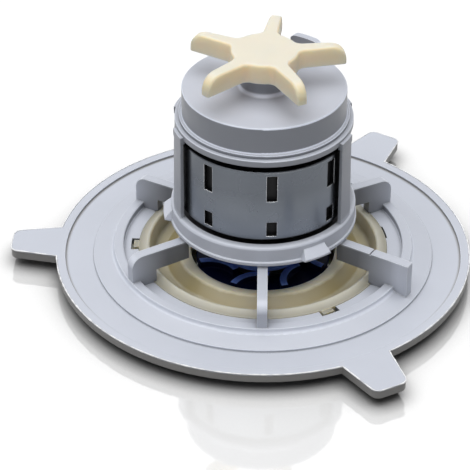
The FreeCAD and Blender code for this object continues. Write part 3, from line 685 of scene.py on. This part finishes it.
def ring_of(tree, count, first, instance):
    """Copies of a shape round the axis."""
    points = add(tree, "GeometryNodePoints")
    feed(tree, points.inputs["Count"], count)
    index = add(tree, "GeometryNodeInputIndex").outputs[0]
    share = maths(tree, "DIVIDE", index, count)
    rotation = add(tree, "ShaderNodeCombineXYZ")
    feed(tree, rotation.inputs["Z"], maths(tree, "ADD", first, times(tree, share, 2 * math.pi)))
    copies = add(tree, "GeometryNodeInstanceOnPoints")
    feed(tree, copies.inputs["Points"], points.outputs[0])
    feed(tree, copies.inputs["Instance"], instance)
    feed(tree, copies.inputs["Rotation"], rotation.outputs[0])
    return copies.outputs[0]


def blade_tree():
    """Backswept blades: an arc through three points, swept with a rounded section."""
    tree, given, identifiers, end = new_tree("impeller blades", [
        ("Count", "NodeSocketInt"), ("First", "NodeSocketFloat"), ("Thickness", "NodeSocketFloat"),
        ("Rounding", "NodeSocketFloat"), ("Outer", "NodeSocketVector"), ("Middle", "NodeSocketVector"),
        ("Inner", "NodeSocketVector"), ("Bottom", "NodeSocketFloat"), ("Top", "NodeSocketFloat"),
        ("Finish", "NodeSocketMaterial")])
    arc = add(tree, "GeometryNodeCurveArc", mode="POINTS")
    feed(tree, arc.inputs["Resolution"], 28)
    for socket, label in (("Start", "Inner"), ("Middle", "Middle"), ("End", "Outer")):
        feed(tree, arc.inputs[socket], given[label])
    upright = add(tree, "GeometryNodeSetCurveNormal", mode="Z_UP")
    feed(tree, upright.inputs["Curve"], arc.outputs["Curve"])
    section = add(tree, "GeometryNodeCurvePrimitiveQuadrilateral", mode="RECTANGLE")
    feed(tree, section.inputs["Width"], given["Thickness"])
    feed(tree, section.inputs["Height"], maths(tree, "SUBTRACT", given["Top"], given["Bottom"]))
    fillet = add(tree, "GeometryNodeFilletCurve", mode="POLY")
    feed(tree, fillet.inputs["Curve"], section.outputs[0])
    feed(tree, fillet.inputs["Count"], 4)
    feed(tree, fillet.inputs["Radius"], given["Rounding"])
    sweep = add(tree, "GeometryNodeCurveToMesh")
    feed(tree, sweep.inputs["Curve"], upright.outputs[0])
    feed(tree, sweep.inputs["Profile Curve"], fillet.outputs[0])
    feed(tree, sweep.inputs["Fill Caps"], True)
    middle = times(tree, maths(tree, "ADD", given["Top"], given["Bottom"]), 0.5)
    blade = shifted(tree, sweep.outputs[0], Z=middle)
    both = add(tree, "GeometryNodeJoinGeometry")
    feed(tree, both.inputs[0], given["Geometry"])
    feed(tree, both.inputs[0], ring_of(tree, given["Count"], given["First"], blade))
    close_tree(tree, both.outputs[0], given["Finish"], end)
    return tree, identifiers


def ring_section(inner, outer, low, high, edge):
    """Outline of a ring's rectangular section with its four edges broken."""
    return [
        (inner, low + edge), (inner + edge, low), (outer - edge, low), (outer, low + edge),
        (outer, high - edge), (outer - edge, high), (inner + edge, high), (inner, high - edge)]


def hub_section(low, high):
    """Outline of the hub: its nose, the coned disc that turns the water outwards, and its top face."""
    return [
        (0.0, low), (2.6 * MM, low), (3.3 * MM, low + 0.3 * MM), (6.4 * MM, low + 2.0 * MM),
        (HUB_RADIUS, low + 3.0 * MM), (HUB_RADIUS, 8.6 * MM), (8.0 * MM, 9.2 * MM), (14.0 * MM, 6.6 * MM),
        (DISC_RADIUS, 6.8 * MM), (DISC_RADIUS, 7.7 * MM), (14.1 * MM, 8.0 * MM), (8.0 * MM, 12.6 * MM),
        (HUB_RADIUS, 13.8 * MM), (HUB_RADIUS, high - 0.4 * MM), (6.7 * MM, high), (0.0, high)]


def impeller_piece(trim, finish):
    """Shroud and hub turned on the axis, with the blades grown between them."""
    shroud = ring_section(EYE_RADIUS, IMPELLER_HIGH.y, IMPELLER_LOW.z, SHROUD_TOP, SHROUD_EDGE)
    body = lathe(shroud, steps=120)
    hub = lathe(hub_section(IMPELLER_LOW.z, IMPELLER_HIGH.z), steps=96)
    mesh = bpy.data.meshes.new("hub")
    hub.to_mesh(mesh)
    hub.free()
    body.from_mesh(mesh)
    bpy.data.meshes.remove(mesh)
    piece = piece_from(body, "impeller_wheel")
    tree, identifiers = blade_tree()
    grown(piece, tree, identifiers, {
        "Count": trim.blade_count,
        "First": trim.blade_first,
        "Thickness": trim.blade_thickness,
        "Rounding": trim.blade_round,
        "Outer": polar(*BLADE_OUTER),
        "Middle": polar(*BLADE_MIDDLE),
        "Inner": polar(*BLADE_INNER),
        "Bottom": SHROUD_TOP - BLADE_SINK,
        "Top": BLADE_TOP,
        "Finish": finish,
    })
    smooth(piece)
    return piece


def rounded_corner(before, corner, after):
    """Points of a curve that rounds one corner of an ear."""
    corner = Vector(corner)
    into = (corner - Vector(before)).normalized()
    out = (Vector(after) - corner).normalized()
    turn = math.acos(max(-1.0, min(1.0, into.dot(out))))
    reach = EAR_CORNER * math.tan(turn / 2)
    start = corner - into * reach
    end = corner + out * reach
    points = []
    for step in range(CORNER_STEPS + 1):
        share = step / CORNER_STEPS
        rest = 1 - share
        points.append(tuple(start * rest ** 2 + corner * 2 * share * rest + end * share ** 2))
    return points


def flange_path():
    """Points along the flange's outline, ears included, in millimetres."""
    foot = FLASH_RADIUS - EAR_FOOT_SINK
    corners = [
        (foot, -EAR_FOOT_HALF_WIDTH), (EAR_TIP_RADIUS, -EAR_TIP_HALF_WIDTH),
        (EAR_TIP_RADIUS, EAR_TIP_HALF_WIDTH), (foot, EAR_FOOT_HALF_WIDTH)]
    ear = [corners[0], *rounded_corner(*corners[:3]), *rounded_corner(*corners[1:]), corners[3]]
    pitch = 360.0 / EAR_COUNT
    arc_from = math.degrees(math.asin(ROOT_HALF_WIDTH / FLASH_RADIUS)) + ROOT_CLEARANCE_DEGREES
    outline = []
    for number in range(EAR_COUNT):
        middle = EAR_FIRST_DEGREES + number * pitch
        turn = math.radians(middle)
        for x, y in ear:
            outline.append((x * math.cos(turn) - y * math.sin(turn), x * math.sin(turn) + y * math.cos(turn)))
        for step in range(ARC_STEPS + 1):
            azimuth = middle + arc_from + (pitch - 2 * arc_from) * step / ARC_STEPS
            outline.append(polar(FLASH_RADIUS, azimuth)[:2])
    return outline


def flash_tree():
    """Thin flash along a closed path: a bead that thins out and swells at random."""
    tree, given, identifiers, end = new_tree("parting flash", [
        ("Reach", "NodeSocketFloat"), ("Seed", "NodeSocketInt"), ("Finish", "NodeSocketMaterial")])
    path = add(tree, "GeometryNodeMeshToCurve")
    feed(tree, path.inputs["Mesh"], given["Geometry"])
    even = add(tree, "GeometryNodeResampleCurve", mode="LENGTH")
    feed(tree, even.inputs["Curve"], path.outputs[0])
    feed(tree, even.inputs["Length"], 0.55 * MM)
    grain = add(tree, "ShaderNodeTexNoise", noise_dimensions="4D")
    feed(tree, grain.inputs["Vector"], add(tree, "GeometryNodeInputPosition").outputs[0])
    feed(tree, grain.inputs["W"], given["Seed"])
    feed(tree, grain.inputs["Scale"], 420.0)
    feed(tree, grain.inputs["Detail"], 3.0)
    ring = add(tree, "GeometryNodeCurvePrimitiveCircle", mode="RADIUS")
    feed(tree, ring.inputs["Resolution"], 5)
    feed(tree, ring.inputs["Radius"], given["Reach"])
    sweep = add(tree, "GeometryNodeCurveToMesh")
    feed(tree, sweep.inputs["Curve"], even.outputs[0])
    feed(tree, sweep.inputs["Profile Curve"], ring.outputs[0])
    feed(tree, sweep.inputs["Scale"], span(tree, grain.outputs["Fac"], (0.36, 0.64), 0.30, 1.0))
    close_tree(tree, sweep.outputs[0], given["Finish"], end)
    return tree, identifiers


def flash_piece(trim, finish):
    body = bmesh.new()
    corners = [body.verts.new((x * MM, y * MM, RIM_TOP)) for x, y in flange_path()]
    for index, corner in enumerate(corners):
        body.edges.new((corner, corners[(index + 1) % len(corners)]))
    piece = piece_from(body, "flange_flash")
    tree, identifiers = flash_tree()
    grown(piece, tree, identifiers, {"Reach": trim.flash_reach, "Seed": trim.flash_seed, "Finish": finish})
    smooth(piece, angle=60.0)
    return piece


def mark_tree():
    """Ejector marks: low round lands on a circle."""
    tree, given, identifiers, end = new_tree("ejector marks", [
        ("Count", "NodeSocketInt"), ("First", "NodeSocketFloat"), ("Circle", "NodeSocketFloat"),
        ("Radius", "NodeSocketFloat"), ("Height", "NodeSocketFloat"), ("Level", "NodeSocketFloat"),
        ("Finish", "NodeSocketMaterial")])
    land = add(tree, "GeometryNodeMeshCone", fill_type="NGON")
    feed(tree, land.inputs["Vertices"], 40)
    feed(tree, land.inputs["Side Segments"], 1)
    feed(tree, land.inputs["Radius Top"], given["Radius"])
    feed(tree, land.inputs["Radius Bottom"], times(tree, given["Radius"], 0.94))
    feed(tree, land.inputs["Depth"], given["Height"])
    placed = shifted(tree, land.outputs[0], X=given["Circle"], Z=given["Level"])
    close_tree(tree, ring_of(tree, given["Count"], given["First"], placed), given["Finish"], end)
    return tree, identifiers


def marks_piece(trim, finish):
    piece = piece_from(bmesh.new(), "ejector_marks")
    tree, identifiers = mark_tree()
    grown(piece, tree, identifiers, {
        "Count": trim.pin_count,
        "First": math.radians(13.0),
        "Circle": MARK_CIRCLE,
        "Radius": trim.pin_radius,
        "Height": 0.2 * MM,
        "Level": FLANGE_UNDERSIDE - 0.08 * MM,
        "Finish": finish,
    })
    smooth(piece)
    return piece


class ROTORUNIT_OT_cover(bpy.types.Operator):
    """Finishes the cover with its cage and the bearing plate, and adds the flash and the ejector marks"""
    bl_idname = "rotorunit.cover"
    bl_label = "Cover and cage"

    def execute(self, context):
        colours, trim, _ = settings()
        grey = moulded_plastic("grey moulded plastic", colours.cover, 0.42)
        tone_cover(grey, colours.flange_side_shade)
        dress(grey, "pump_cover")
        dress(moulded_plastic("bearing plate plastic", colours.plate, 0.45), "lower_bearing_plate")
        # Painted highlight: the flash's near-white plastic draws a light line along the rim's edge.
        flash_highlight_plastic = moulded_plastic("thin flash plastic", colours.flash, 0.5, grain_depth=0.05 * MM, recess=1.0)
        flash = flash_piece(trim, flash_highlight_plastic)
        marks = marks_piece(trim, grey)
        for piece in (flash, marks):
            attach(piece, "housing")
        return {"FINISHED"}


class ROTORUNIT_OT_cap(bpy.types.Operator):
    """Finishes the end cap"""
    bl_idname = "rotorunit.cap"
    bl_label = "End cap"

    def execute(self, context):
        colours, _, _ = settings()
        plastic = moulded_plastic("end cap plastic", colours.cap, 0.40)
        tone_cap(plastic)
        dress(plastic, "end_cap")
        return {"FINISHED"}


class ROTORUNIT_OT_guide(bpy.types.Operator):
    """Finishes the guide ring"""
    bl_idname = "rotorunit.guide"
    bl_label = "Guide ring"

    def execute(self, context):
        colours, _, _ = settings()
        dress(translucent_plastic("natural guide plastic", colours.guide), "diffuser_ring")
        return {"FINISHED"}


class ROTORUNIT_OT_impeller(bpy.types.Operator):
    """Makes the impeller with its blades, and gives it its blue finish"""
    bl_idname = "rotorunit.impeller"
    bl_label = "Impeller"

    def execute(self, context):
        colours, trim, _ = settings()
        finish = glossy_plastic(
            "blue impeller plastic", colours.impeller, colours.blade_edge_highlight, colours.impeller_depth_shade)
        wheel = impeller_piece(trim, finish)
        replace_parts(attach(wheel, "rotor"), "impeller")
        return {"FINISHED"}


class ROTORUNIT_OT_rotor(bpy.types.Operator):
    """Finishes the drum, its magnets and core, the shaft, the bushes and the washers"""
    bl_idname = "rotorunit.rotor"
    bl_label = "Rotor and bearings"

    def execute(self, context):
        colours, _, _ = settings()
        dress(satin_drum("satin drum sleeve", colours.drum, colours.drum_ends_and_shade), "rotor_shell")
        magnets = [name for name in NODES if name.startswith("magnet_")]
        dress(sintered("sintered ferrite", colours.ferrite, 0.42, 0.5 * MM), *magnets)
        dress(turned_metal("core steel", shade(colours.steel, 0.5)[:3], 0.45), "rotor_core")
        dress(turned_metal("ground shaft steel", colours.steel, 0.22), "shaft")
        dress(sintered("carbon", colours.carbon, 0.38, 0.3 * MM), "upper_bearing", "lower_bearing")
        ceramic = sintered("ceramic", colours.ceramic, 0.25, 0.4 * MM)
        dress(ceramic, "upper_thrust_washer", "lower_thrust_washer")
        return {"FINISHED"}


class ROTORUNIT_OT_star(bpy.types.Operator):
    """Finishes the star wheel"""
    bl_idname = "rotorunit.star"
    bl_label = "Star wheel"

    def execute(self, context):
        colours, _, _ = settings()
        dress(cream_plastic("cream plastic", colours.star), "star_wheel")
        return {"FINISHED"}


def seen_share(tree):
    """1 for rays that show a surface, straight, mirrored or through glass, and 0 for light that bounces."""
    path = add(tree, "ShaderNodeLightPath").outputs
    either = maths(tree, "MAXIMUM", path["Is Camera Ray"], path["Is Glossy Ray"])
    return maths(tree, "MAXIMUM", either, path["Is Transmission Ray"])


def floor_finish():
    """Pale, slightly mirroring sheet with a painted shadow, darker under the object, which throws little
    light back up.
    """
    material, tree, skin, _ = blank_finish("floor acrylic")
    # Painted shadow: the floor is drawn darker near the object.
    clear = open_share(tree, 30 * MM, (0.30, 1.0))
    sheet = blend_colours(tree, clear, (0.36, 0.36, 0.36, 1.0), (0.98, 0.98, 0.98, 1.0))
    colour = blend_colours(tree, seen_share(tree), (0.10, 0.10, 0.10, 1.0), sheet)
    feed(tree, skin.inputs["Base Color"], colour)
    skin.inputs["Roughness"].default_value = 0.05
    skin.inputs["Metallic"].default_value = 0.22
    skin.inputs["IOR"].default_value = 1.6
    return material


def floor_piece(size):
    body = bmesh.new()
    half = size / 2
    level = CAD_BOX[0][2] - FLOOR_GAP
    corners = [(-half, -half), (half, -half), (half, half), (-half, half)]
    body.faces.new([body.verts.new((x, y, level)) for x, y in corners])
    floor = piece_from(body, "floor")
    floor.data.materials.append(floor_finish())
    return floor


def sky(strength):
    """White where it is seen, and faint as a light."""
    world = bpy.data.worlds.new("studio sky")
    world.use_nodes = True
    tree = world.node_tree
    glow = tree.nodes["Background"]
    glow.inputs["Color"].default_value = (1.0, 1.0, 1.0, 1.0)
    feed(tree, glow.inputs["Strength"], span(tree, seen_share(tree), (0.0, 1.0), strength, 1.0))
    return world


def hang_lamp(name, strength, spread, heading):
    """Broad far-off lamp whose light travels along a heading."""
    lamp = bpy.data.lights.new(name, "SUN")
    lamp.energy = strength
    lamp.angle = spread
    holder = bpy.data.objects.new(name, lamp)
    holder.rotation_mode = "QUATERNION"
    holder.rotation_quaternion = Vector(heading).to_track_quat("-Z", "Y")
    bpy.context.scene.collection.objects.link(holder)


def set_camera(scene, elevation, distance):
    """Camera in front of the object, turned as the photograph's."""
    eye = bpy.data.cameras.new("camera")
    eye.sensor_width = 36.0
    eye.lens = FOCAL_LENGTH / PHOTO_WIDTH * eye.sensor_width
    eye.clip_start = 0.02
    eye.clip_end = 50.0
    camera = bpy.data.objects.new("camera", eye)
    scene.collection.objects.link(camera)
    back = Vector((0.0, -math.cos(elevation), math.sin(elevation)))
    camera.location = Vector((0.0, 0.0, RIM_TOP)) + back * distance
    camera.rotation_mode = "QUATERNION"
    aim = (-back).to_track_quat("-Z", "Y")
    pan = Quaternion((0.0, 1.0, 0.0), math.atan(AIM_LEFT / FOCAL_LENGTH))
    tilt = Quaternion((1.0, 0.0, 0.0), math.atan(AIM_UP / FOCAL_LENGTH))
    roll = Quaternion((0.0, 0.0, 1.0), CAMERA_ROLL)
    camera.rotation_quaternion = aim @ pan @ tilt @ roll
    scene.camera = camera


class ROTORUNIT_OT_stage(bpy.types.Operator):
    """Sets the camera, the lamps, the sky and the floor"""
    bl_idname = "rotorunit.stage"
    bl_label = "Stage"

    def execute(self, context):
        _, _, stage = settings()
        scene = context.scene
        scene.view_settings.view_transform = "Standard"
        set_camera(scene, stage.camera_height, stage.camera_distance)
        hang_lamp("overhead lamp", stage.lamp_strength, stage.lamp_spread, OVERHEAD_HEADING)
        hang_lamp("front lamp", stage.fill_strength, FRONT_SPREAD, FRONT_HEADING)
        scene.world = sky(stage.sky_strength)
        floor_piece(stage.floor_size)
        return {"FINISHED"}


OPERATORS = (
    ROTORUNIT_OT_stage, ROTORUNIT_OT_cover, ROTORUNIT_OT_cap, ROTORUNIT_OT_guide, ROTORUNIT_OT_impeller,
    ROTORUNIT_OT_rotor, ROTORUNIT_OT_star)
GROUPS = (
    ("rotor_unit_finishes", RotorUnitFinishes),
    ("rotor_unit_trim", RotorUnitTrim),
    ("rotor_unit_stage", RotorUnitStage))


class ROTORUNIT_PT_panel(bpy.types.Panel):
    """Lists the unit's pieces and their settings"""
    bl_idname = "ROTORUNIT_PT_panel"
    bl_label = "Rotor Unit"
    bl_space_type = "VIEW_3D"
    bl_region_type = "UI"
    bl_category = "Rotor Unit"

    def draw(self, context):
        for operator in OPERATORS:
            self.layout.operator(operator.bl_idname)
        for attribute, group in GROUPS:
            box = self.layout.box()
            for name in group.__annotations__:
                box.prop(getattr(context.scene, attribute), name)


def register():
    for _, group in GROUPS:
        bpy.utils.register_class(group)
    for attribute, group in GROUPS:
        setattr(bpy.types.Scene, attribute, bpy.props.PointerProperty(type=group))
    for operator in OPERATORS:
        bpy.utils.register_class(operator)
    bpy.utils.register_class(ROTORUNIT_PT_panel)


def unregister():
    bpy.utils.unregister_class(ROTORUNIT_PT_panel)
    for operator in reversed(OPERATORS):
        bpy.utils.unregister_class(operator)
    for attribute, group in reversed(GROUPS):
        delattr(bpy.types.Scene, attribute)
        bpy.utils.unregister_class(group)


def main():
    register()
    bpy.ops.rotorunit.stage()
    bpy.ops.rotorunit.cover()
    bpy.ops.rotorunit.cap()
    bpy.ops.rotorunit.guide()
    bpy.ops.rotorunit.impeller()
    bpy.ops.rotorunit.rotor()
    bpy.ops.rotorunit.star()


if __name__ == "__main__":
    main()
